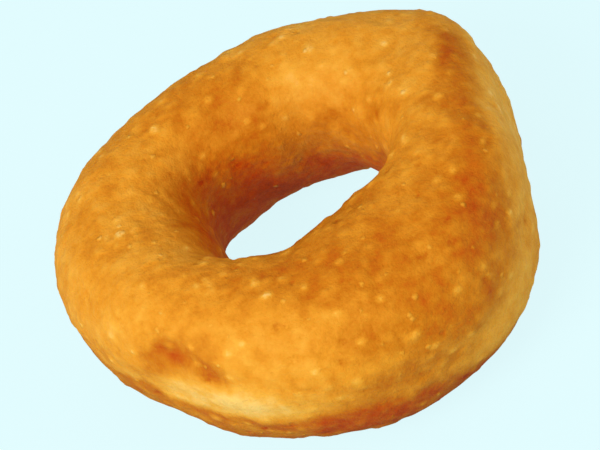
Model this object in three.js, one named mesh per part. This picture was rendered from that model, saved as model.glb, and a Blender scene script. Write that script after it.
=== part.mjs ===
// A plain ring doughnut of raised dough, fried on both sides, in millimetres with +Z up.
// It lies flat on its pressed underside. The ring runs counterclockwise round +Z from +X, and each
// upright section through the dough is measured by its own angle: 0 faces out, 90 is the crown,
// 180 faces into the hole and 270 is the underside. All angles are in degrees.
import * as THREE from "three";

// Driving dimensions
const OUTER_RADIUS = 43.5; // mean reach of the outer edge from the ring's middle
const HOLE_RADIUS = 15.5; // mean reach of the hole's narrowest wall
const HEIGHT = 31.6; // mean height of the crown above the table
const FOOT_DEPTH = 0.8; // how much of the round underside is pressed flat by the dough's weight
const ROUNDNESS = 2.25; // power of the section's curve: 2 is an ellipse, more is boxier
const SHOULDER_POWER = 0.5; // how much boxier the section is at the flattened right side
const SHOULDER_TOWARD = 335; // ring angle at the middle of that side
const SHOULDER_SPREAD = 34; // how far along the ring it fades away

// Facets: sections round the ring, and points on each section
const RING_SECTIONS = 120;
const SECTION_POINTS = 44;

// Crust
const CRUST_COLOUR = "#de922c"; // golden brown
const CRUST_ROUGHNESS = 0.55;

// Hand-stretched dough is never a true circle. A lobe swells an edge by its height, so many times
// in one turn, and first at its ring angle.
const OUTER_LOBES = [
  { times: 2, swell: 0.7, toward: -20 },
  { times: 3, swell: 2.65, toward: 39 },
  { times: 4, swell: 0.3, toward: 26 },
  { times: 5, swell: 0.6, toward: 18 },
  { times: 6, swell: 0.5, toward: 24 },
  { times: 7, swell: 0.3, toward: -20 },
];
const HOLE_LOBES = [
  { times: 1, swell: 3, toward: 82 },
  { times: 2, swell: 2.1, toward: 4 },
  { times: 3, swell: 1.2, toward: -10 },
  { times: 4, swell: 0.6, toward: -40 },
  { times: 5, swell: 0.4, toward: -15 },
];
const CROWN_LOBES = [
  { times: 1, swell: 1.5, toward: -145 },
  { times: 3, swell: 0.25, toward: 70 },
];

// Broad lumps left by the frying: crests round the ring, crests round the section, height, and the
// turn that sets where the first crest stands.
const LUMPS = [
  { round: 3, over: 1, height: 0.22, turn: 40 },
  { round: 5, over: -2, height: 0.2, turn: 150 },
  { round: 8, over: 2, height: 0.15, turn: 265 },
  { round: 11, over: -1, height: 0.12, turn: 20 },
  { round: 7, over: 4, height: 0.1, turn: 310 },
  { round: 14, over: 3, height: 0.08, turn: 95 },
];

// The pale belt where the two fried halves meet: a shallow dip that wanders up and down the side
const BELT_DEPTH = 0.35;
const BELT_SPREAD = 11; // how far up and down the section the dip has mostly faded
const BELT_ANGLE = 6; // mean section angle of its middle
const BELT_WANDER = [
  { times: 1, swell: 8, toward: 340 },
  { times: 2, swell: 12, toward: 20 },
];

// Single marks. Each is an oval bump, or a dent where its rise is negative: ring angle, section
// angle, half length and half width in millimetres, lean of its length above the ring's own
// direction, and rise.
const MARKS = [
  { name: "scorched dimple", ring: 214.5, over: 48, long: 3.4, wide: 2.6, lean: 10, rise: -0.9 },
  { name: "crease", ring: 225, over: 43, long: 5, wide: 1.4, lean: -33, rise: -0.6 },
  { name: "pale pillow", ring: 229, over: 14, long: 11, wide: 3.4, lean: 0, rise: 0.6 },
  { name: "corner knob", ring: 22, over: 42, long: 6, wide: 6, lean: 0, rise: 0.5 },
  { name: "corner pinch", ring: 40, over: 66, long: 2.4, wide: 6, lean: 90, rise: -0.5 },
  { name: "far dome", ring: 62, over: 122, long: 8, wide: 6, lean: 10, rise: 0.5 },
  { name: "far hollow", ring: 100, over: 104, long: 6, wide: 5, lean: -20, rise: -0.45 },
  { name: "hole corner", ring: 50, over: 214, long: 6, wide: 8, lean: 0, rise: -1.3 },
  { name: "lip corner", ring: 300, over: 124, long: 7, wide: 3, lean: 0, rise: -0.5 },
  { name: "left hollow", ring: 144, over: 98, long: 5, wide: 5, lean: 0, rise: -0.35 },
  { name: "front dip", ring: 285, over: 62, long: 9, wide: 5, lean: 15, rise: -0.4 },
  { name: "right edge", ring: 335, over: 50, long: 16, wide: 2.2, lean: -8, rise: 0.45 },
  { name: "back crease", ring: 118, over: 24, long: 7, wide: 1.5, lean: 24, rise: -0.5 },
  { name: "under dent", ring: 330, over: -42, long: 5, wide: 3, lean: 10, rise: -0.6 },
];

const FULL_TURN = 360;
const HALF_TURN = FULL_TURN / 2;
const radians = THREE.MathUtils.degToRad;
const degrees = THREE.MathUtils.radToDeg;

// The way from one angle to another, the short way round.
function turnBetween(angle, from) {
  return THREE.MathUtils.euclideanModulo(angle - from + HALF_TURN, FULL_TURN) - HALF_TURN;
}

// A length that swells and shrinks round the ring.
function withLobes(mean, lobes, ring) {
  return lobes.reduce(
    (sum, lobe) => sum + lobe.swell * Math.cos(lobe.times * radians(ring - lobe.toward)),
    mean,
  );
}

// A bell of height 1 at 0, in units of its own half width.
const bell = (distance) => Math.exp(-distance * distance);

// The dough's upright section at a ring angle.
function sectionAt(ring) {
  const outer = withLobes(OUTER_RADIUS, OUTER_LOBES, ring);
  const hole = withLobes(HOLE_RADIUS, HOLE_LOBES, ring);
  const shoulder = bell(turnBetween(ring, SHOULDER_TOWARD) / SHOULDER_SPREAD);
  return {
    middle: (outer + hole) / 2,
    halfWidth: (outer - hole) / 2,
    halfHeight: (withLobes(HEIGHT, CROWN_LOBES, ring) + FOOT_DEPTH) / 2,
    power: ROUNDNESS + SHOULDER_POWER * shoulder,
  };
}

// Reach of the section's plain curve from its middle, towards a section angle.
function plainReach(section, over) {
  const across = Math.abs(Math.cos(radians(over))) / section.halfWidth;
  const up = Math.abs(Math.sin(radians(over))) / section.halfHeight;
  return (across ** section.power + up ** section.power) ** (-1 / section.power);
}

// Height of one mark at a point of the skin, from its distances along the ring and up the section.
function markHeight(mark, along, above) {
  const lean = radians(mark.lean);
  const lengthwise = (along * Math.cos(lean) + above * Math.sin(lean)) / mark.long;
  const crosswise = (above * Math.cos(lean) - along * Math.sin(lean)) / mark.wide;
  return mark.rise * bell(Math.hypot(lengthwise, crosswise));
}

// Everything that stands proud of the plain curve or sinks into it.
function relief(ring, over, section, reach) {
  const lumps = LUMPS.reduce(
    (sum, lump) => sum + lump.height * Math.cos(radians(lump.round * ring + lump.over * over - lump.turn)),
    0,
  );
  const beltMiddle = withLobes(BELT_ANGLE, BELT_WANDER, ring);
  const belt = -BELT_DEPTH * bell(turnBetween(over, beltMiddle) / BELT_SPREAD);
  const ringReach = section.middle + reach * Math.cos(radians(over));
  const marks = MARKS.reduce((sum, mark) => {
    const along = radians(turnBetween(ring, mark.ring)) * ringReach;
    const above = radians(turnBetween(over, mark.over)) * reach;
    return sum + markHeight(mark, along, above);
  }, 0);
  return lumps + belt + marks;
}

// A point of the dough's skin. The table presses flat what would lie below it.
function skinPoint(ring, over) {
  const section = sectionAt(ring);
  const plain = plainReach(section, over);
  const reach = plain + relief(ring, over, section, plain);
  const distance = section.middle + reach * Math.cos(radians(over));
  const height = section.halfHeight - FOOT_DEPTH + reach * Math.sin(radians(over));
  return new THREE.Vector3(
    distance * Math.cos(radians(ring)),
    distance * Math.sin(radians(ring)),
    Math.max(height, 0),
  );
}

// A plain torus gives the faces, and each of its corners moves to the dough's skin. The origin is
// in the middle of the foot.
function doughnutGeometry() {
  const coreRadius = (OUTER_RADIUS + HOLE_RADIUS) / 2;
  const geometry = new THREE.TorusGeometry(coreRadius, HEIGHT / 2, SECTION_POINTS, RING_SECTIONS);
  const corners = geometry.getAttribute("position");
  const corner = new THREE.Vector3();
  for (let i = 0; i < corners.count; i++) {
    corner.fromBufferAttribute(corners, i);
    const outward = Math.hypot(corner.x, corner.y) - coreRadius;
    const ring = degrees(Math.atan2(corner.y, corner.x));
    const over = degrees(Math.atan2(corner.z, outward));
    const moved = skinPoint(ring, over);
    corners.setXYZ(i, moved.x, moved.y, moved.z);
  }
  geometry.computeBoundingBox();
  const middle = geometry.boundingBox.getCenter(new THREE.Vector3());
  geometry.translate(-middle.x, -middle.y, -geometry.boundingBox.min.z);
  geometry.computeVertexNormals();
  return geometry;
}

const friedCrust = new THREE.MeshStandardMaterial({
  color: CRUST_COLOUR,
  roughness: CRUST_ROUGHNESS,
  metalness: 0,
});

const doughnut = new THREE.Mesh(doughnutGeometry(), friedCrust);
doughnut.name = "doughnut";

const part = new THREE.Group();
part.add(doughnut);

export default part;
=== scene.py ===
"""A plain ring doughnut of raised dough, fried on both sides, lying on a pale table.

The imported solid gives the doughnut's size and place. The crust is one finer mesh that follows the
same rule for the dough's form, in metres, and adds the blisters, pits and puckers of the frying.
The ring runs counterclockwise round +Z from +X. Each upright section through the dough has its own
angle: 0 faces out, 90 is the crown, 180 faces into the hole and 270 is the underside. Angles in the
tables are in degrees.
"""
import math

import bmesh
import bpy
import numpy as np
from bpy.props import FloatProperty, FloatVectorProperty, IntProperty, PointerProperty
from mathutils import Matrix, Vector, kdtree, noise


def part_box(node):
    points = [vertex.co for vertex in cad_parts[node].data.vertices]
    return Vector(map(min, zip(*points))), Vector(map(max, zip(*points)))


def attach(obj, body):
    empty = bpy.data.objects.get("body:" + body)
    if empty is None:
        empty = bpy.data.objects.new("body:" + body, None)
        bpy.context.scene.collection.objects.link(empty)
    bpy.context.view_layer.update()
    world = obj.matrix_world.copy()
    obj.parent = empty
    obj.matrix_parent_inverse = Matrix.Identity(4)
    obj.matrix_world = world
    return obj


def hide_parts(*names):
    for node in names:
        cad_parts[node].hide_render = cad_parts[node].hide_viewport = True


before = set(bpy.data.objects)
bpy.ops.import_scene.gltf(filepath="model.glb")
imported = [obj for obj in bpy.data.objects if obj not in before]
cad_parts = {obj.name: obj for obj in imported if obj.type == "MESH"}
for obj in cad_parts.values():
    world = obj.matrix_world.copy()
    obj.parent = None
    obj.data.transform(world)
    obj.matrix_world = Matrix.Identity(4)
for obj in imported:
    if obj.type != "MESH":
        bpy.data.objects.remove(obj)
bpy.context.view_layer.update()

bl_info = {
    "name": "Plain ring doughnut",
    "version": (1, 0, 0),
    "blender": (4, 5, 0),
    "location": "3D View > Sidebar > Doughnut",
    "description": "Makes a fried ring doughnut and a small studio round it",
    "category": "Add Mesh",
}

MM = 0.001
FULL_TURN = 360
HALF_TURN = FULL_TURN / 2
NODE = "doughnut"
BODY = "root"
NODE_LOW, NODE_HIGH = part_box(NODE)

# The dough's form, as in the solid. A lobe swells an edge by its height, so many times in one turn,
# and first at its ring angle.
OUTER_LOBES = (
    (2, 0.7 * MM, -20),
    (3, 2.65 * MM, 39),
    (4, 0.3 * MM, 26),
    (5, 0.6 * MM, 18),
    (6, 0.5 * MM, 24),
    (7, 0.3 * MM, -20),
)
HOLE_LOBES = (
    (1, 3 * MM, 82),
    (2, 2.1 * MM, 4),
    (3, 1.2 * MM, -10),
    (4, 0.6 * MM, -40),
    (5, 0.4 * MM, -15),
)
CROWN_LOBES = (
    (1, 1.5 * MM, -145),
    (3, 0.25 * MM, 70),
)
SHOULDER_POWER = 0.5  # how much boxier the section is at the flattened right side
SHOULDER_TOWARD = 335  # ring angle at the middle of that side
SHOULDER_SPREAD = 34  # how far along the ring it fades away

# Broad lumps: crests round the ring, crests round the section, height, and turn of the first crest
LUMPS = (
    (3, 1, 0.22 * MM, 40),
    (5, -2, 0.2 * MM, 150),
    (8, 2, 0.15 * MM, 265),
    (11, -1, 0.12 * MM, 20),
    (7, 4, 0.1 * MM, 310),
    (14, 3, 0.08 * MM, 95),
)

# The pale belt where the two fried halves meet, a shallow dip that wanders up and down the side
BELT_DEPTH = 0.35 * MM
BELT_SPREAD = 11  # how far up and down the section the dip has mostly faded
BELT_ANGLE = 6  # mean section angle of its middle
BELT_WANDER = (
    (1, 8, 340),
    (2, 12, 20),
)

# Single marks: ring angle, section angle, half length, half width, lean of the length above the
# ring's own direction, and rise
MARKS = {
    "scorched dimple": (214.5, 48, 3.4 * MM, 2.6 * MM, 10, -0.9 * MM),
    "crease": (225, 43, 5 * MM, 1.4 * MM, -33, -0.6 * MM),
    "pale pillow": (229, 14, 11 * MM, 3.4 * MM, 0, 0.6 * MM),
    "corner knob": (22, 42, 6 * MM, 6 * MM, 0, 0.5 * MM),
    "corner pinch": (40, 66, 2.4 * MM, 6 * MM, 90, -0.5 * MM),
    "far dome": (62, 122, 8 * MM, 6 * MM, 10, 0.5 * MM),
    "far hollow": (100, 104, 6 * MM, 5 * MM, -20, -0.45 * MM),
    "hole corner": (50, 214, 6 * MM, 8 * MM, 0, -1.3 * MM),
    "lip corner": (300, 124, 7 * MM, 3 * MM, 0, -0.5 * MM),
    "left hollow": (144, 98, 5 * MM, 5 * MM, 0, -0.35 * MM),
    "front dip": (285, 62, 9 * MM, 5 * MM, 15, -0.4 * MM),
    "right edge": (335, 50, 16 * MM, 2.2 * MM, -8, 0.45 * MM),
    "back crease": (118, 24, 7 * MM, 1.5 * MM, 24, -0.5 * MM),
    "under dent": (330, -42, 5 * MM, 3 * MM, 10, -0.6 * MM),
}

# Faces round the ring and round each section
RING_SECTIONS = 440
SECTION_POINTS = 220

# Crops of small domes and pits: how many, smallest and largest radius, rise for each unit of radius,
# how much it lightens the crust, partly as pale blister and partly as a painted highlight on the dome,
# and how far it is drawn out along the ring
CROPS = {
    "blisters": (300, 1.3 * MM, 2.6 * MM, 0.1, 0.07, 1.2),
    "bubbles": (1300, 0.9 * MM, 1.5 * MM, 0.14, 0.07, 1.1),
    "flecks": (200, 0.8 * MM, 1.2 * MM, 0.16, 0.25, 1.4),
    "pits": (170, 0.9 * MM, 1.4 * MM, -0.18, -0.09, 1.3),
}
SPARE_DRAWS = 8  # places drawn for each one that is kept

# Painted shade: the crops' lightness is damped in the hole, which lies in shade: section angle, spread,
# and share lost
HOLE_SHADE_ON_CROPS = (205, 50, 0.8)

# Blisters that stand out: ring angle, section angle, radius, rise, and how much they lighten the crust,
# partly as pale dough and partly as a painted highlight
BLISTERS = {
    "hole rim, right": (26.5, 141.5, 2.3 * MM, 0.34 * MM, 0.15),
    "hole rim, far right": (43.5, 161, 2.3 * MM, 0.32 * MM, 0.13),
    "hole rim, left": (194, 124, 1.2 * MM, 0.14 * MM, 0.24),
    "crown, far right": (3.5, 104, 1.9 * MM, 0.24 * MM, 0.22),
    "crown, far right, small": (12, 113, 1.4 * MM, 0.18 * MM, 0.2),
    "crown, far": (47, 112, 1.8 * MM, 0.22 * MM, 0.12),
    "crown, far middle": (54, 99, 1.3 * MM, 0.16 * MM, 0.2),
    "crown, far left": (65, 98, 1.2 * MM, 0.14 * MM, 0.18),
    "crown, left of the hollow": (99, 103, 1.4 * MM, 0.16 * MM, 0.22),
    "crown, left edge": (122.5, 96, 1.2 * MM, 0.16 * MM, 0.3),
    "crown, left": (165.5, 96, 1.4 * MM, 0.16 * MM, 0.18),
    "crown, left, next": (172.5, 94.5, 1.3 * MM, 0.15 * MM, 0.2),
    "crown, front left": (213.5, 111.5, 1.4 * MM, 0.16 * MM, 0.22),
    "crown, above the dimple": (225.5, 89.5, 1.4 * MM, 0.16 * MM, 0.15),
    "beside the dimple": (216, 60.5, 1.5 * MM, 0.26 * MM, 0.09),
    "crown, front": (242.5, 93, 1.3 * MM, 0.2 * MM, 0.36),
    "crown, front, next": (247, 83.5, 1.3 * MM, 0.2 * MM, 0.38),
    "crown, front right": (259.5, 82.5, 1.2 * MM, 0.16 * MM, 0.26),
    "crown, by the hole": (273, 86.5, 1.2 * MM, 0.15 * MM, 0.24),
    "side, front": (263, 60.5, 1.4 * MM, 0.16 * MM, 0.16),
    "side, front right": (276.5, 53.5, 1.2 * MM, 0.15 * MM, 0.26),
    "side, right": (300.5, 29, 1.1 * MM, 0.14 * MM, 0.26),
    "crown, right": (336.5, 109, 1.4 * MM, 0.18 * MM, 0.2),
    "shoulder, right": (312, 62.5, 1.1 * MM, 0.16 * MM, 0.28),
    "shoulder, far right": (352, 84.5, 1.3 * MM, 0.16 * MM, 0.26),
    "corner": (9, 76.5, 1.3 * MM, 0.16 * MM, 0.26),
}

# How brown each section angle is fried, from 0 for raw dough to 1 for burnt. On the hole's wall the
# tones are partly real browning and partly painted shade, darkest deep in the hole
BROWNING_AND_HOLE_SHADE = (
    (-90, 0.62),
    (-45, 0.66),
    (-12, 0.66),
    (8, 0.58),
    (28, 0.47),
    (50, 0.45),
    (90, 0.5),
    (125, 0.52),
    # From here round to 245, on the hole's wall: browning with painted shade on top
    (145, 0.6),
    (165, 0.71),
    (190, 0.8),
    (215, 0.85),
    (245, 0.76),
    (270, 0.62),
)

# The dough is fried a little browner towards the front right
BROWNING_LOBES = (
    (1, 0.065, 295),
    (2, 0.03, 280),
)

# The seam, where the second side's browning ends: ring angle, section angle and softness
SEAM = (
    (0, -25, 4),
    (50, -14, 4),
    (110, -14, 4),
    (160, -4, 4),
    (190, 6, 5),
    (203, 9, 5),
    (210, 3, 5),
    (219, -4, 6),
    (229, -2, 7),
    (240, -1, 9),
    (247, -4, 9),
    (256, 5.5, 8),
    (266, 0, 10),
    (276, -10, 9),
    (288, -22, 9),
    (303, -33, 8),
    (335, -36, 5),
)
RIM_BROWNING = 0.06  # how much browner it is below the seam
RIM_DEPTH = 24  # how far down the section that fades away

# The pale belt above the seam: ring angle, section angle of its upper edge, and how brown it is
PALE_BELT = (
    (15, 46, 0.31),
    (60, 18, 0.36),
    (110, 8, 0.36),
    (160, 14, 0.4),
    (196, 16, 0.43),
    (208, 23, 0.38),
    (216, 31, 0.22),
    (224, 33, 0.12),
    (231, 26, 0.12),
    (240, 25, 0.15),
    (249, 17, 0.29),
    (255, 12, 0.46),
    (264, 8, 0.61),
    (276, 8, 0.6),
    (288, 8, 0.56),
    (297, 8, 0.53),
    (310, 8, 0.47),
    (316, 17, 0.45),
    (324, 44, 0.39),
    (335, 57, 0.34),
    (348, 56, 0.24),
)
BELT_SOFTNESS = 1.4  # of the belt's upper edge, in the seam's own softness

# Columns of the seam's and of the belt's table
EDGE = 1
SOFTNESS = 2
BROWNNESS = 2

# Small waves of the seam and of the belt's edge, in degrees
EDGE_WAVES = (
    (9, 1.3, 10),
    (14, 1.0, 200),
    (23, 0.9, 77),
    (41, 0.6, 3),
)

# Browner and paler places: ring angle, section angle, half length, half width, lean, change. Most are
# the crust's own tone; those noted below also paint shade or light
STAINS = {
    "scorched dimple": (213, 42, 4.4 * MM, 3.3 * MM, 0, 0.21),
    "scorched core": (216.4, 47.5, 2.2 * MM, 1.9 * MM, 0, 0.18),
    "dimple, upper edge": (212, 53.5, 3 * MM, 1.1 * MM, 60, 0.08),
    "dimple halo": (221, 55, 5 * MM, 3.5 * MM, -15, 0.05),
    "beside the dimple": (205, 61, 3.5 * MM, 3 * MM, 0, -0.09),
    "crease, upper side": (229, 49.5, 5 * MM, 3 * MM, -30, 0.08),
    "crease": (224.5, 44, 5.5 * MM, 2.4 * MM, -34, 0.155),
    "crease end": (228.5, 37, 2.4 * MM, 2 * MM, -34, 0.08),
    "shoulder strip": (345, 69, 17 * MM, 3.6 * MM, 0, 0.16),
    "shoulder side": (314, 49, 12 * MM, 5 * MM, 21, 0.16),
    "corner spot": (6, 64, 5 * MM, 4 * MM, 0, 0.16),
    "corner fold": (8.5, 69, 3.4 * MM, 1.3 * MM, -24, 0.12),
    "corner, light side": (10.5, 76.5, 3.4 * MM, 1.5 * MM, -24, -0.1),
    "corner top": (17, 60, 4.5 * MM, 3 * MM, 0, 0.09),
    "corner side": (14, 50, 4 * MM, 4 * MM, 0, 0.08),
    # Painted shade on top of some real browning: the far hollow and the far left turn away from the
    # lamps
    "far hollow": (83, 129, 8 * MM, 7 * MM, 0, 0.17),
    "far left": (103, 90, 10 * MM, 6.5 * MM, 0, 0.14),
    # Painted light: a paler patch for brighter light on the left of the crown
    "left glow": (158, 108, 8 * MM, 5 * MM, 0, -0.06),
    "left crown": (172, 88, 9 * MM, 6 * MM, 0, 0.06),
    "left side": (192, 55, 8 * MM, 5 * MM, 0, -0.03),
    # Partly painted light: the far dome and its side are paler where the dome faces the lamps
    "far dome": (60, 122, 9 * MM, 6 * MM, 14, -0.2),
    "far dome, side": (76, 140, 6 * MM, 5 * MM, 0, -0.07),
    "far edge": (62, 66, 20 * MM, 5 * MM, 0, -0.12),
    "by the blisters": (41, 146.5, 1.8 * MM, 1.4 * MM, 0, 0.14),
    "right of the blisters": (11.5, 132, 1.6 * MM, 1.3 * MM, 0, 0.12),
    "crown, far right": (22, 93, 9 * MM, 6 * MM, 0, -0.07),
    "crown, right": (318, 104, 16 * MM, 7 * MM, 0, -0.08),
    "front crown": (263, 82, 14 * MM, 7 * MM, 0, 0.075),
    "front right": (291, 48, 16 * MM, 8 * MM, 8, 0.055),
    # Painted light: a paler patch for brighter light on the front
    "front glow": (247, 54, 12 * MM, 7 * MM, 0, -0.15),
    "front low": (259, 20, 12 * MM, 4.5 * MM, 0, -0.11),
    "front right, low": (284, 28, 8 * MM, 4 * MM, 0, 0.07),
    # Painted light: the hole's lip is paler to stand for brighter light there
    "lip": (213, 119, 7 * MM, 5 * MM, 0, -0.06),
    # Painted shade on top of some real browning darkens the hole's left wall here and in hole, far left
    # and hole, near left
    "hole, left": (148, 143, 14 * MM, 5.5 * MM, 0, 0.16),
    "hole, far left": (98, 190, 11 * MM, 7 * MM, 0, 0.07),
    "hole, right": (6, 150, 7 * MM, 5 * MM, 0, -0.13),
    "hole, near left": (180, 158, 5 * MM, 6 * MM, 0, 0.05),
    "hole, far": (57, 171, 11 * MM, 7 * MM, 0, -0.12),
    "rim, left": (202, 9, 4.5 * MM, 2.5 * MM, 0, 0.06),
    "rim, front": (229, -19, 13 * MM, 3 * MM, 0, -0.12),
    "rim, front right": (258, -22, 6 * MM, 3 * MM, 0, 0.08),
    "side spot, right": (300, 42, 2 * MM, 1.6 * MM, 0, 0.05),
    "side, low": (292, 25, 6 * MM, 3.5 * MM, 0, -0.05),
    "rim, right": (298, -9, 14 * MM, 6 * MM, 0, -0.15),
    "left spot": (177.5, 110, 2.4 * MM, 2 * MM, 0, 0.12),
}


def from_screen(red, green, blue):
    """A colour as it is on a screen, from 0 to 255, in linear numbers, by the usual screen curve."""
    return tuple(
        (c / 255 / 12.92) if c <= 10 else ((c / 255 + 0.055) / 1.055) ** 2.4
        for c in (red, green, blue)
    )


class DoughForm(bpy.types.PropertyGroup):
    """Sizes of the dough."""

    outer_radius: FloatProperty(
        name="Outer radius",
        description="Mean reach of the outer edge from the ring's middle",
        default=43.5 * MM,
        min=20 * MM,
        unit="LENGTH",
    )
    hole_radius: FloatProperty(
        name="Hole radius",
        description="Mean reach of the hole's narrowest wall",
        default=15.5 * MM,
        min=4 * MM,
        unit="LENGTH",
    )
    height: FloatProperty(
        name="Height",
        description="Mean height of the crown above the table",
        default=31.6 * MM,
        min=10 * MM,
        unit="LENGTH",
    )
    foot_depth: FloatProperty(
        name="Foot depth",
        description="How much of the round underside is pressed flat",
        default=0.8 * MM,
        min=0,
        unit="LENGTH",
    )
    roundness: FloatProperty(
        name="Roundness",
        description="Power of the section's curve: 2 is an ellipse, more is boxier",
        default=2.25,
        min=1.5,
        max=5,
    )


class CrustRelief(bpy.types.PropertyGroup):
    """The fine relief of the fried crust."""

    plenty: FloatProperty(
        name="Plenty of blisters",
        description="Share of the usual number of blisters, bubbles, flecks and pits",
        default=1,
        min=0,
        max=3,
        subtype="FACTOR",
    )
    ripple: FloatProperty(
        name="Ripple",
        description="Height of the soft unevenness between the blisters",
        default=0.2 * MM,
        min=0,
        unit="LENGTH",
    )
    pucker: FloatProperty(
        name="Pucker",
        description="Height of the fine folds that cross the belt",
        default=0.09 * MM,
        min=0,
        unit="LENGTH",
    )
    seed: IntProperty(
        name="Seed",
        description="Another number scatters the blisters in another way",
        default=11,
        min=0,
    )


class CrustColours(bpy.types.PropertyGroup):
    """Colours of the crust, from raw dough to burnt."""

    dough: FloatVectorProperty(
        name="Pale dough",
        description="Colour of the belt, which the oil didn't reach",
        default=from_screen(247, 198, 106),
        subtype="COLOR",
        min=0,
        max=1,
    )
    straw: FloatVectorProperty(
        name="Straw",
        description="Colour beside the belt",
        default=from_screen(238, 170, 58),
        subtype="COLOR",
        min=0,
        max=1,
    )
    gold: FloatVectorProperty(
        name="Gold",
        description="Colour of most of the crust",
        default=from_screen(226, 148, 36),
        subtype="COLOR",
        min=0,
        max=1,
    )
    amber: FloatVectorProperty(
        name="Amber",
        description="Colour of the well fried crust",
        default=from_screen(203, 119, 17),
        subtype="COLOR",
        min=0,
        max=1,
    )
    # The hole's wall reaches this colour, and its darkness there is partly painted shade
    russet: FloatVectorProperty(
        name="Russet",
        description="Colour of the hole's wall",
        default=from_screen(184, 66, 3),
        subtype="COLOR",
        min=0,
        max=1,
    )
    scorched: FloatVectorProperty(
        name="Scorched",
        description="Colour of the darkest crust",
        default=from_screen(136, 36, 3),
        subtype="COLOR",
        min=0,
        max=1,
    )


class Studio(bpy.types.PropertyGroup):
    """The table, the lamps and the camera."""

    table: FloatVectorProperty(
        name="Table",
        description="Colour of the table",
        default=from_screen(225, 252, 255),
        subtype="COLOR",
        min=0,
        max=1,
    )
    glow: FloatProperty(
        name="Table glow",
        description="Share of the table's light that comes from below it, as on a light table",
        default=0.93,
        min=0,
        max=1,
        subtype="FACTOR",
    )
    light: FloatProperty(
        name="Light",
        description="Strength of all lamps",
        default=1,
        min=0,
    )
    room: FloatProperty(
        name="Room light",
        description="Strength of the light from all round",
        default=0.35,
        min=0,
    )
    elevation: FloatProperty(
        name="Camera elevation",
        description="How far above the table's level the camera stands",
        default=math.radians(46),
        subtype="ANGLE",
    )
    roll: FloatProperty(
        name="Camera roll",
        description="How far the camera is turned about its own view",
        default=math.radians(30),
        subtype="ANGLE",
    )
    distance: FloatProperty(
        name="Camera distance",
        description="From the camera to the doughnut's middle",
        default=0.38,
        min=0.1,
        unit="LENGTH",
    )


def turn_between(angle, start):
    """The way from one angle to another in degrees, the short way round."""
    return (angle - start + HALF_TURN) % FULL_TURN - HALF_TURN


def with_lobes(mean, lobes, ring):
    """A length or angle that swells and shrinks round the ring."""
    swells = (swell * np.cos(times * np.radians(ring - toward)) for times, swell, toward in lobes)
    return mean + sum(swells)


def bell(distance):
    """A bell of height 1 at 0, in units of its own half width."""
    return np.exp(-distance * distance)


def step_up(distance, softness):
    """0 below an edge and 1 above it, eased over a softness to either side."""
    share = np.clip(distance / (2 * softness) + 0.5, 0, 1)
    return share * share * (3 - 2 * share)


def round_ring(ring, table, column):
    """One column of a table of places round the ring, drawn straight between them."""
    rings = [row[0] for row in table]
    values = [row[column] for row in table]
    return np.interp(ring, rings, values, period=FULL_TURN)


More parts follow.
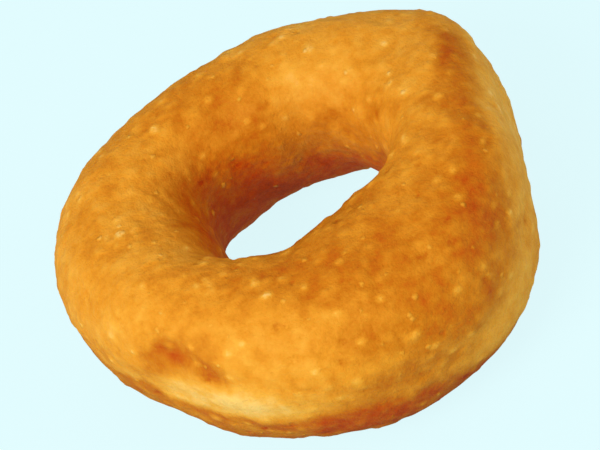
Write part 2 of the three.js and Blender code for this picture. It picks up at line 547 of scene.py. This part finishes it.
class Skin:
    """The dough's plain skin at many points at once: each has a ring angle and a section angle."""

    def __init__(self, form, ring, over):
        outer = with_lobes(form.outer_radius, OUTER_LOBES, ring)
        hole = with_lobes(form.hole_radius, HOLE_LOBES, ring)
        shoulder = bell(turn_between(ring, SHOULDER_TOWARD) / SHOULDER_SPREAD)
        power = form.roundness + SHOULDER_POWER * shoulder
        self.ring = ring
        self.over = over
        self.foot_depth = form.foot_depth
        self.middle = (outer + hole) / 2
        self.half_width = (outer - hole) / 2
        self.half_height = (with_lobes(form.height, CROWN_LOBES, ring) + form.foot_depth) / 2
        across = np.abs(np.cos(np.radians(over))) / self.half_width
        up = np.abs(np.sin(np.radians(over))) / self.half_height
        self.reach = (across**power + up**power) ** (-1 / power)
        self.belt = turn_between(over, with_lobes(BELT_ANGLE, BELT_WANDER, ring))

    def mark(self, ring, over, length, width, lean):
        """A bell round one place of the skin, drawn out along a leaning line."""
        along = np.radians(turn_between(self.ring, ring)) * self.ring_reach()
        above = np.radians(turn_between(self.over, over)) * self.reach
        cosine = math.cos(math.radians(lean))
        sine = math.sin(math.radians(lean))
        lengthwise = (along * cosine + above * sine) / length
        crosswise = (above * cosine - along * sine) / width
        return bell(np.hypot(lengthwise, crosswise))

    def ring_reach(self):
        """Distance of the plain skin from the ring's own axis."""
        return self.middle + self.reach * np.cos(np.radians(self.over))

    def relief(self):
        """What stands proud of the plain skin or sinks into it, as in the solid."""
        lumps = sum(
            height * np.cos(np.radians(crests * self.ring + over * self.over - turn))
            for crests, over, height, turn in LUMPS
        )
        belt = -BELT_DEPTH * bell(self.belt / BELT_SPREAD)
        marks = sum(rise * self.mark(*place) for *place, rise in MARKS.values())
        return lumps + belt + marks

    def points(self):
        """The skin's points, before the table presses them flat and before they are centred."""
        reach = self.reach + self.relief()
        distance = self.middle + reach * np.cos(np.radians(self.over))
        height = self.half_height - self.foot_depth + reach * np.sin(np.radians(self.over))
        ring = np.radians(self.ring)
        return np.stack([distance * np.cos(ring), distance * np.sin(ring), height], axis=1)

    def browning(self):
        """How brown the crust is fried, from 0 for raw dough to 1 for burnt, with the painted shade and
        painted light of the hole and of some stains folded in.
        """
        angles, tones = zip(*BROWNING_AND_HOLE_SHADE)
        tone = np.interp(self.over, angles, tones, period=FULL_TURN)
        tone += with_lobes(0, BROWNING_LOBES, self.ring)
        below = -self.above_seam()
        tone += RIM_BROWNING * step_up(below, self.seam_softness()) * bell(below / RIM_DEPTH)
        tone += (round_ring(self.ring, PALE_BELT, BROWNNESS) - tone) * self.paleness()
        return tone + sum(change * self.mark(*place) for *place, change in STAINS.values())

    def above_seam(self):
        """How far above the seam each point is, in degrees of its section."""
        return self.over - round_ring(self.ring, SEAM, EDGE) - with_lobes(0, EDGE_WAVES, self.ring)

    def seam_softness(self):
        """Over how many degrees of the section, to either side, the seam fades."""
        return round_ring(self.ring, SEAM, SOFTNESS)

    def paleness(self):
        """1 on the pale belt and 0 elsewhere."""
        upper_edge = round_ring(self.ring, PALE_BELT, EDGE) + with_lobes(0, EDGE_WAVES, -self.ring)
        below_edge = upper_edge - self.over
        softness = self.seam_softness()
        return step_up(self.above_seam(), softness) * step_up(below_edge, BELT_SOFTNESS * softness)


def read_points(mesh):
    """A mesh's points as an array."""
    points = np.empty(len(mesh.vertices) * 3, np.float32)
    mesh.vertices.foreach_get("co", points)
    return points.reshape(-1, 3).astype(float)


def write_points(mesh, points):
    """Moves a mesh's points."""
    mesh.vertices.foreach_set("co", points.astype(np.float32).ravel())
    mesh.update()


def plain_ring(name, core_radius, section_radius):
    """A plain ring of even faces: one round section, spun a full turn."""
    bm = bmesh.new()
    section = bmesh.ops.create_circle(bm, segments=SECTION_POINTS, radius=section_radius)["verts"]
    bmesh.ops.rotate(bm, verts=section, cent=(0, 0, 0), matrix=Matrix.Rotation(math.pi / 2, 3, "X"))
    bmesh.ops.translate(bm, verts=section, vec=(core_radius, 0, 0))
    bmesh.ops.spin(
        bm,
        geom=bm.verts[:] + bm.edges[:],
        cent=(0, 0, 0),
        axis=(0, 0, 1),
        angle=math.tau,
        steps=RING_SECTIONS,
        use_merge=True,
    )
    bmesh.ops.recalc_face_normals(bm, faces=bm.faces)
    mesh = bpy.data.meshes.new(name)
    bm.to_mesh(mesh)
    bm.free()
    mesh.shade_smooth()
    return mesh


# The soft unevenness is noise of two sizes, and the folds are noise that is drawn out up the section
BROAD_RIPPLE = 4.2 * MM
FINE_RIPPLE = 1.7 * MM
FINE_SHARE = 0.4  # height of the fine ripples, as a share of the broad ones
FOLD_WIDTH = 1.3 * MM  # round the ring
FOLD_LENGTH = 5 * MM  # up the section
FOLD_SPREAD = 2 * BELT_SPREAD  # how far above and below the belt's middle the folds fade away


def bumps(places):
    """Smooth noise from -1 to 1 at many places."""
    return np.array([noise.noise(Vector(place)) for place in places])


def ripples(points, skin, relief):
    """Soft unevenness all over, and fine folds that cross the belt."""
    ring = np.radians(skin.ring)
    along_x = skin.ring_reach() * np.cos(ring)
    along_y = skin.ring_reach() * np.sin(ring)
    up_section = skin.reach * np.radians(skin.over)
    unrolled = np.stack([along_x / FOLD_WIDTH, along_y / FOLD_WIDTH, up_section / FOLD_LENGTH], axis=1)
    uneven = bumps(points / BROAD_RIPPLE) + FINE_SHARE * bumps(points / FINE_RIPPLE)
    folds = bumps(unrolled) * bell(skin.belt / FOLD_SPREAD)
    return relief.ripple * uneven + relief.pucker * folds


def even_places(rng, form, count):
    """Places drawn evenly over the dough's plain skin."""
    ring, over = rng.uniform(0, FULL_TURN, (2, 1 + count * SPARE_DRAWS))
    skin = Skin(form, ring, over)
    area = skin.ring_reach() * skin.reach
    kept = rng.choice(len(area), size=count, replace=False, p=area / area.sum())
    return skin.points()[kept]


def scatter_crops(form, skin, points, relief):
    """Heights and lightness of all the domes and pits, at each of the crust's points; the lightness is
    partly a painted highlight.
    """
    rng = np.random.default_rng(relief.seed)
    tree = kdtree.KDTree(len(points))
    for index, point in enumerate(points):
        tree.insert(point, index)
    tree.balance()
    heights = np.zeros(len(points))
    lightness = np.zeros(len(points))

    def raise_dome(centre, radius, rise, paler_and_highlight, stretch):
        along_ring = Vector((-centre.y, centre.x, 0)).normalized()
        for place, index, distance in tree.find_range(centre, radius * stretch):
            drawn_out = (place - centre).dot(along_ring) ** 2 * (1 - stretch**-2)
            share = (distance**2 - drawn_out) / radius**2
            if share < 1:
                heights[index] += rise * (1 - share) ** 2
                lightness[index] += paler_and_highlight * (1 - share) ** 2

    for count, smallest, largest, steepness, paler_and_highlight, stretch in CROPS.values():
        places = even_places(rng, form, round(count * relief.plenty))
        for place, draw in zip(places, rng.random(len(places))):
            radius = smallest * (largest / smallest) ** (draw * draw)  # most are small
            raise_dome(Vector(place), radius, radius * steepness, paler_and_highlight, stretch)
    for ring, over, radius, rise, paler_and_highlight in BLISTERS.values():
        nearest = np.argmin(np.hypot(turn_between(skin.ring, ring), turn_between(skin.over, over)))
        raise_dome(Vector(points[nearest]), radius, rise, paler_and_highlight, 1)
    # Painted shade: the crops' lightness fades in the hole
    middle, spread, lost = HOLE_SHADE_ON_CROPS
    return heights, lightness * (1 - lost * bell(turn_between(skin.over, middle) / spread))


def store(mesh, name, values):
    """Keeps one number for each point of a mesh, for its material to read."""
    attribute = mesh.attributes.new(name, "FLOAT", "POINT")
    attribute.data.foreach_set("value", values.astype(np.float32))


def way_to_solid(points):
    """The level move that brings the plain skin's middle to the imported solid's."""
    middle = (points.min(axis=0) + points.max(axis=0)) / 2
    solid = (np.array(NODE_LOW) + np.array(NODE_HIGH)) / 2
    return (solid - middle) * (1, 1, 0)


def crust_mesh(form, relief):
    """The finished crust: the dough's form with its fine relief, pressed flat underneath."""
    core_radius = (form.outer_radius + form.hole_radius) / 2
    mesh = plain_ring("doughnut_crust", core_radius, form.height / 2)
    start = read_points(mesh)
    ring = np.degrees(np.arctan2(start[:, 1], start[:, 0]))
    outward = np.hypot(start[:, 0], start[:, 1]) - core_radius
    over = np.degrees(np.arctan2(start[:, 2], outward))
    skin = Skin(form, ring, over)
    points = skin.points()
    write_points(mesh, points)
    normals = np.empty(len(mesh.vertices) * 3, np.float32)
    mesh.vertex_normals.foreach_get("vector", normals)
    heights, lightness = scatter_crops(form, skin, points, relief)
    heights += ripples(points, skin, relief)
    move = way_to_solid(points)
    points += normals.reshape(-1, 3) * heights[:, None]
    points[:, 2] = np.maximum(points[:, 2], 0)
    write_points(mesh, points + move)
    # Browning, with painted shade and painted light folded in
    store(mesh, "browning", skin.browning())
    # The crops' lightness: partly pale blisters, partly painted highlights
    store(mesh, "lightness", lightness)
    store(mesh, "paleness", skin.paleness())
    return mesh


class Value:
    """What a socket gives, as it varies over a surface. Python's operators on it add Math nodes."""

    def __init__(self, shader, socket):
        self.shader = shader
        self.socket = socket

    def __add__(self, other):
        return self.shader.maths("ADD", self, other)

    def __sub__(self, other):
        return self.shader.maths("SUBTRACT", self, other)

    def __rsub__(self, other):
        return self.shader.maths("SUBTRACT", other, self)

    def __mul__(self, other):
        return self.shader.maths("MULTIPLY", self, other)

    __radd__ = __add__
    __rmul__ = __mul__


SPOT_RADIUS = 0.34  # of the largest spots, as a share of their spacing
SPOT_EDGE = 5  # how steeply a spot fades towards its edge


class Shader:
    """The node tree of one material."""

    def __init__(self, name):
        self.material = bpy.data.materials.new(name)
        self.material.use_nodes = True
        self.tree = self.material.node_tree
        self.tree.nodes.clear()

    def node(self, kind, settings, sockets, output=0):
        """Adds a node, changes its settings, then fills or links its sockets. Gives one output."""
        made = self.tree.nodes.new(kind)
        for key, setting in settings.items():
            if key == "stops":
                self.set_stops(made.color_ramp, setting)
            else:
                setattr(made, key, setting)
        for key, value in sockets.items():
            socket = made.inputs[key]
            if isinstance(value, Value):
                self.tree.links.new(value.socket, socket)
            else:
                socket.default_value = value
        return Value(self, made.outputs[output]) if made.outputs else None

    def set_stops(self, ramp, stops):
        """Gives a colour ramp its stops, each a place and a colour."""
        for place, colour in stops[1:-1]:
            ramp.elements.new(place)
        for element, (place, colour) in zip(ramp.elements, stops):
            element.position = place
            element.color = (*colour, 1)

    def maths(self, operation, *numbers):
        """One Math node."""
        return self.node("ShaderNodeMath", {"operation": operation}, dict(enumerate(numbers)))

    def attribute(self, name):
        """A number that the mesh keeps for each point."""
        return self.node("ShaderNodeAttribute", {"attribute_name": name}, {}, "Fac")

    def grain(self, place, size, detail=2.0):
        """Noise from about -0.5 to 0.5 with grains of a size in metres."""
        sockets = {"Vector": place, "Scale": 1 / size, "Detail": detail}
        return self.node("ShaderNodeTexNoise", {}, sockets, "Fac") - 0.5

    def drift(self, place, size, reach):
        """A place moved about by swirls of a size, so that what follows it turns out uneven."""
        swirls = self.node("ShaderNodeTexNoise", {}, {"Vector": place, "Scale": 1 / size}, "Color")
        sockets = {0: swirls, 1: (reach, reach, reach), 2: place}
        return self.node("ShaderNodeVectorMath", {"operation": "MULTIPLY_ADD"}, sockets, "Vector")

    def spots(self, place, spacing, share):
        """Small round spots of many sizes: 1 in the middle of each, and 0 between them."""
        cells = {"Vector": place, "Scale": 1 / spacing}
        middle = self.node("ShaderNodeTexVoronoi", {}, cells, "Distance")
        paint = Value(self, middle.socket.node.outputs["Color"])
        draw = self.node("ShaderNodeSeparateColor", {}, {"Color": paint})
        radius = (draw - (1 - share)) * (SPOT_RADIUS / share)
        return self.maths("MAXIMUM", self.maths("MINIMUM", (radius - middle) * SPOT_EDGE, 1), 0)

    def finish(self, sockets):
        """Ends the tree in one Principled surface."""
        surface = self.node("ShaderNodeBsdfPrincipled", {}, sockets)
        self.node("ShaderNodeOutputMaterial", {}, {"Surface": surface})
        return self.material


# The patterns in the crust's material: sizes of their grains, spacings of their spots, and the share
# of the spacings that hold a spot
CLOUD_SIZE = 6 * MM
MOTTLE_SIZE = 2.6 * MM
MOTTLE_DETAIL = 4.0
SPECK_SIZE = 0.7 * MM
SWIRL_SIZE = 0.6 * MM
SWIRL_REACH = 0.6 * MM
FLECK_SPACING = 2.1 * MM
FLECK_SHARE = 0.36
PINHOLE_SPACING = 2.9 * MM
PINHOLE_SHARE = 0.16
GRIT_SIZE = 1.1 * MM
FINE_GRIT_SIZE = 0.4 * MM

# How much browner each pattern makes the crust, and how much paler the flecks make it, partly as pale
# blisters and partly as painted highlights
CLOUD_TONE = 0.36
MOTTLE_TONE = 0.36
SPECK_TONE = 0.16
PINHOLE_TONE = 0.1
FLECK_PALENESS_AND_HIGHLIGHT = 0.26
CALM_BROWNING = 1.5  # clouds and mottling fade out towards this browning
BLISTER_SPECKS = 3  # how strongly the specks break up a blister's lightness, which is partly a painted highlight

# How high each pattern stands, in millimetres
GRIT_HEIGHT = 0.26
FINE_GRIT_HEIGHT = 0.12
FLECK_HEIGHT = 0.2
PINHOLE_DEPTH = 0.14

CRUST_ROUGHNESS = 0.56
MOTTLE_ROUGHNESS = 0.25
FLECK_GLOSS = 0.16  # how much less rough the flecks are


def crust_material(colours):
    """Fried crust: its tone follows the browning, broken up by clouds, mottling, flecks and pinholes.
    The browning holds some painted shade and painted light, and the flecks' and blisters' paleness is
    partly a painted highlight.
    """
    shader = Shader("golden_crust")
    place = shader.node("ShaderNodeTexCoord", {}, {}, "Object")
    browning = shader.attribute("browning")
    fried = 1 - shader.attribute("paleness")
    clouds = shader.grain(place, CLOUD_SIZE)
    mottling = shader.grain(place, MOTTLE_SIZE, MOTTLE_DETAIL)
    specks = shader.grain(place, SPECK_SIZE)
    swirled = shader.drift(place, SWIRL_SIZE, SWIRL_REACH)
    flecks = shader.spots(swirled, FLECK_SPACING, FLECK_SHARE) * fried
    pinholes = shader.spots(swirled, PINHOLE_SPACING, PINHOLE_SHARE) * fried
    tone = browning - shader.attribute("lightness") * (1 + specks * BLISTER_SPECKS)
    tone = tone + (clouds * CLOUD_TONE + mottling * MOTTLE_TONE) * (CALM_BROWNING - browning)
    # The flecks' paleness is partly a painted highlight
    tone = tone + specks * SPECK_TONE + pinholes * PINHOLE_TONE - flecks * FLECK_PALENESS_AND_HIGHLIGHT
    stops = (
        (0.0, colours.dough),
        (0.25, colours.straw),
        (0.45, colours.gold),
        (0.62, colours.amber),
        (0.82, colours.russet),
        (1.0, colours.scorched),
    )
    colour = shader.node("ShaderNodeValToRGB", {"stops": stops}, {"Fac": tone}, "Color")
    grit = shader.grain(swirled, GRIT_SIZE) * GRIT_HEIGHT
    grit = grit + shader.grain(place, FINE_GRIT_SIZE) * FINE_GRIT_HEIGHT
    height = grit + flecks * FLECK_HEIGHT - pinholes * PINHOLE_DEPTH
    normal = shader.node("ShaderNodeBump", {}, {"Height": height, "Distance": MM})
    return shader.finish(
        {
            "Base Color": colour,
            "Roughness": CRUST_ROUGHNESS + mottling * MOTTLE_ROUGHNESS - flecks * FLECK_GLOSS,
            "Normal": normal,
            "Specular IOR Level": 0.16,
            "Specular Tint": (1.0, 0.75, 0.4, 1.0),
            "Subsurface Weight": 0.1,
            "Subsurface Radius": (1.0, 0.35, 0.1),
            "Subsurface Scale": 1.2 * MM,
        }
    )


def link(name, data):
    """Adds an object that holds some data to the scene."""
    made = bpy.data.objects.new(name, data)
    bpy.context.scene.collection.objects.link(made)
    return made


class DOUGHNUT_OT_crust(bpy.types.Operator):
    """Make the doughnut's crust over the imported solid"""

    bl_idname = "doughnut.crust"
    bl_label = "Make the crust"

    def execute(self, context):
        scene = context.scene
        mesh = crust_mesh(scene.doughnut_form, scene.doughnut_relief)
        mesh.materials.append(crust_material(scene.doughnut_colours))
        crust = link("doughnut_crust", mesh)
        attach(crust, BODY)
        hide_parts(NODE)
        return {"FINISHED"}


TABLE_RADIUS = 1.5
TABLE_SIDES = 96
AIM = Vector((0, 0, 17 * MM))  # the doughnut's middle, where the camera and the lamps point
FRAME_WIDTH = 600  # pixels across the picture
PIXEL = 0.1785 * MM  # what one pixel spans at the doughnut
AIM_PIXELS = (0.9, 0.6)  # how far right of and above the picture's middle the aim point shows
SENSOR_WIDTH = 36.0  # millimetres, as the camera counts
NEAREST_SEEN = 0.01  # metres from the camera, as the next
FARTHEST_SEEN = 10

# Soft lamps: azimuth from the front and elevation in degrees, distance and side of the square panel
# in metres, and power in watts
LAMPS = {
    "key_lamp": (-58, 42, 0.7, 0.36, 3.6),
    "top_lamp": (10, 80, 0.8, 0.7, 0.9),
    "fill_lamp": (66, 28, 0.7, 0.5, 1.3),
    "back_lamp": (160, 35, 0.8, 0.5, 0.3),
}
LAMP_COLOUR = (1.0, 0.96, 0.88)


def direction(azimuth, elevation):
    """Unit vector towards a place seen from the aim point. Azimuth 0 is the front, and 90 is +X."""
    level = math.cos(elevation)
    return Vector((math.sin(azimuth) * level, -math.cos(azimuth) * level, math.sin(elevation)))


def make_table(studio):
    """A round table top, large enough to fill every view."""
    bm = bmesh.new()
    bmesh.ops.create_circle(bm, cap_ends=True, segments=TABLE_SIDES, radius=TABLE_RADIUS)
    mesh = bpy.data.meshes.new("table_top")
    bm.to_mesh(mesh)
    bm.free()
    shader = Shader("table_top")
    mesh.materials.append(
        shader.finish(
            {
                "Base Color": (*(c * (1 - studio.glow) for c in studio.table), 1),
                "Roughness": 0.9,
                "Specular IOR Level": 0.1,
                "Emission Color": (*studio.table, 1),
                "Emission Strength": studio.glow,
            }
        )
    )
    top = link("table_top", mesh)
    top.visible_glossy = False


def make_room(studio):
    """Even white light from all round."""
    world = bpy.data.worlds.new("room")
    world.use_nodes = True
    background = world.node_tree.nodes["Background"]
    background.inputs["Color"].default_value = (1, 1, 1, 1)
    background.inputs["Strength"].default_value = studio.room
    bpy.context.scene.world = world
    world.cycles_visibility.glossy = False


def make_lamps(studio):
    """Large soft panels that face the doughnut."""
    for name, (azimuth, elevation, distance, side, power) in LAMPS.items():
        lamp = bpy.data.lights.new(name, "AREA")
        lamp.size = side
        lamp.color = LAMP_COLOUR
        lamp.energy = power * studio.light
        towards = direction(math.radians(azimuth), math.radians(elevation))
        panel = link(name, lamp)
        panel.location = AIM + towards * distance
        panel.rotation_euler = towards.to_track_quat("Z", "Y").to_euler()


def make_camera(studio):
    """A camera above the front, turned about its own view as the picture is."""
    back = direction(0, studio.elevation)
    level_right = Vector((1, 0, 0))
    level_up = back.cross(level_right)
    right = level_right * math.cos(studio.roll) - level_up * math.sin(studio.roll)
    up = level_right * math.sin(studio.roll) + level_up * math.cos(studio.roll)
    camera = bpy.data.cameras.new("camera")
    camera.sensor_width = SENSOR_WIDTH
    camera.lens = SENSOR_WIDTH * studio.distance / (FRAME_WIDTH * PIXEL)
    camera.clip_start = NEAREST_SEEN
    camera.clip_end = FARTHEST_SEEN
    aim = AIM - (right * AIM_PIXELS[0] + up * AIM_PIXELS[1]) * PIXEL
    holder = link("camera", camera)
    turned = Matrix((right, up, back)).transposed().to_4x4()
    holder.matrix_world = Matrix.Translation(aim + back * studio.distance) @ turned
    bpy.context.scene.camera = holder


class DOUGHNUT_OT_stage(bpy.types.Operator):
    """Make the table, the lamps and the camera"""

    bl_idname = "doughnut.stage"
    bl_label = "Make the stage"

    def execute(self, context):
        studio = context.scene.doughnut_studio
        make_table(studio)
        make_room(studio)
        make_lamps(studio)
        make_camera(studio)
        context.scene.view_settings.view_transform = "Standard"
        return {"FINISHED"}


class DOUGHNUT_PT_maker(bpy.types.Panel):
    """Lists the steps that make the doughnut, and what can be changed"""

    bl_label = "Doughnut"
    bl_idname = "DOUGHNUT_PT_maker"
    bl_space_type = "VIEW_3D"
    bl_region_type = "UI"
    bl_category = "Doughnut"

    def draw(self, context):
        for name in GROUPS:
            group = getattr(context.scene, name)
            box = self.layout.box()
            box.label(text=group.bl_rna.name)
            for key in group.bl_rna.properties.keys():
                if key not in ("rna_type", "name"):
                    box.prop(group, key)
        for step in STEPS:
            self.layout.operator(step.bl_idname)


GROUPS = {
    "doughnut_form": DoughForm,
    "doughnut_relief": CrustRelief,
    "doughnut_colours": CrustColours,
    "doughnut_studio": Studio,
}
STEPS = (DOUGHNUT_OT_crust, DOUGHNUT_OT_stage)


def register():
    for made in (*GROUPS.values(), *STEPS, DOUGHNUT_PT_maker):
        bpy.utils.register_class(made)
    for name, group in GROUPS.items():
        setattr(bpy.types.Scene, name, PointerProperty(type=group))


def unregister():
    for name in GROUPS:
        delattr(bpy.types.Scene, name)
    for made in (DOUGHNUT_PT_maker, *STEPS, *GROUPS.values()):
        bpy.utils.unregister_class(made)


def main():
    """Makes everything."""
    register()
    bpy.ops.doughnut.crust()
    bpy.ops.doughnut.stage()


if __name__ == "__main__":
    main()
